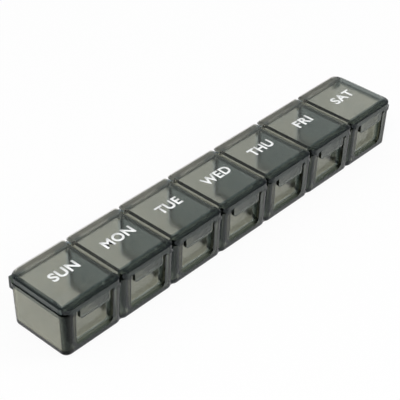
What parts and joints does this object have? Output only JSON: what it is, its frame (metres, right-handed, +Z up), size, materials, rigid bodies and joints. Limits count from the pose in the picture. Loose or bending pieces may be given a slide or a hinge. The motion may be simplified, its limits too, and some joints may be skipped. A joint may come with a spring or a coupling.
{
  "type": "pill organizer",
  "caption": "Long tray of pill cups in smoke-grey see-through plastic, each with its own hinged lid, lift tab and finger recess.",
  "frame": {"origin": "on the table, under the middle of the tray", "axes": "+X along the row from the first day to the last, +Y from the lift tabs at the front to the hinges at the back, +Z up"},
  "size_m": [0.2126, 0.0344, 0.0256],
  "materials": {
    "tray_plastic": "gloss, see-through smoke grey",
    "lid_plastic": "gloss, see-through smoke grey",
    "pin_plastic": "gloss, see-through smoke grey"
  },
  "bodies": {
    "tray_body": {"tray": "tray_plastic", "hinge_pin_sun": "pin_plastic", "hinge_pin_mon": "pin_plastic", "hinge_pin_tue": "pin_plastic", "hinge_pin_wed": "pin_plastic", "hinge_pin_thu": "pin_plastic", "hinge_pin_fri": "pin_plastic", "hinge_pin_sat": "pin_plastic"},
    "sun_lid_body": {"lid_sun": "lid_plastic"},
    "mon_lid_body": {"lid_mon": "lid_plastic"},
    "tue_lid_body": {"lid_tue": "lid_plastic"},
    "wed_lid_body": {"lid_wed": "lid_plastic"},
    "thu_lid_body": {"lid_thu": "lid_plastic"},
    "fri_lid_body": {"lid_fri": "lid_plastic"},
    "sat_lid_body": {"lid_sat": "lid_plastic"}
  },
  "joints": [
    {"name": "sun_lid_hinge", "type": "hinge", "parent": "tray_body", "child": "sun_lid_body", "pos_m": [-0.09, 0.0156, 0.0226], "axis": [-1, 0, 0], "range_deg": [0, 110]},
    {"name": "mon_lid_hinge", "type": "hinge", "parent": "tray_body", "child": "mon_lid_body", "pos_m": [-0.06, 0.0156, 0.0226], "axis": [-1, 0, 0], "range_deg": [0, 110]},
    {"name": "tue_lid_hinge", "type": "hinge", "parent": "tray_body", "child": "tue_lid_body", "pos_m": [-0.03, 0.0156, 0.0226], "axis": [-1, 0, 0], "range_deg": [0, 110]},
    {"name": "wed_lid_hinge", "type": "hinge", "parent": "tray_body", "child": "wed_lid_body", "pos_m": [0, 0.0156, 0.0226], "axis": [-1, 0, 0], "range_deg": [0, 110]},
    {"name": "thu_lid_hinge", "type": "hinge", "parent": "tray_body", "child": "thu_lid_body", "pos_m": [0.03, 0.0156, 0.0226], "axis": [-1, 0, 0], "range_deg": [0, 110]},
    {"name": "fri_lid_hinge", "type": "hinge", "parent": "tray_body", "child": "fri_lid_body", "pos_m": [0.06, 0.0156, 0.0226], "axis": [-1, 0, 0], "range_deg": [0, 110]},
    {"name": "sat_lid_hinge", "type": "hinge", "parent": "tray_body", "child": "sat_lid_body", "pos_m": [0.09, 0.0156, 0.0226], "axis": [-1, 0, 0], "range_deg": [0, 110]}
  ]
}
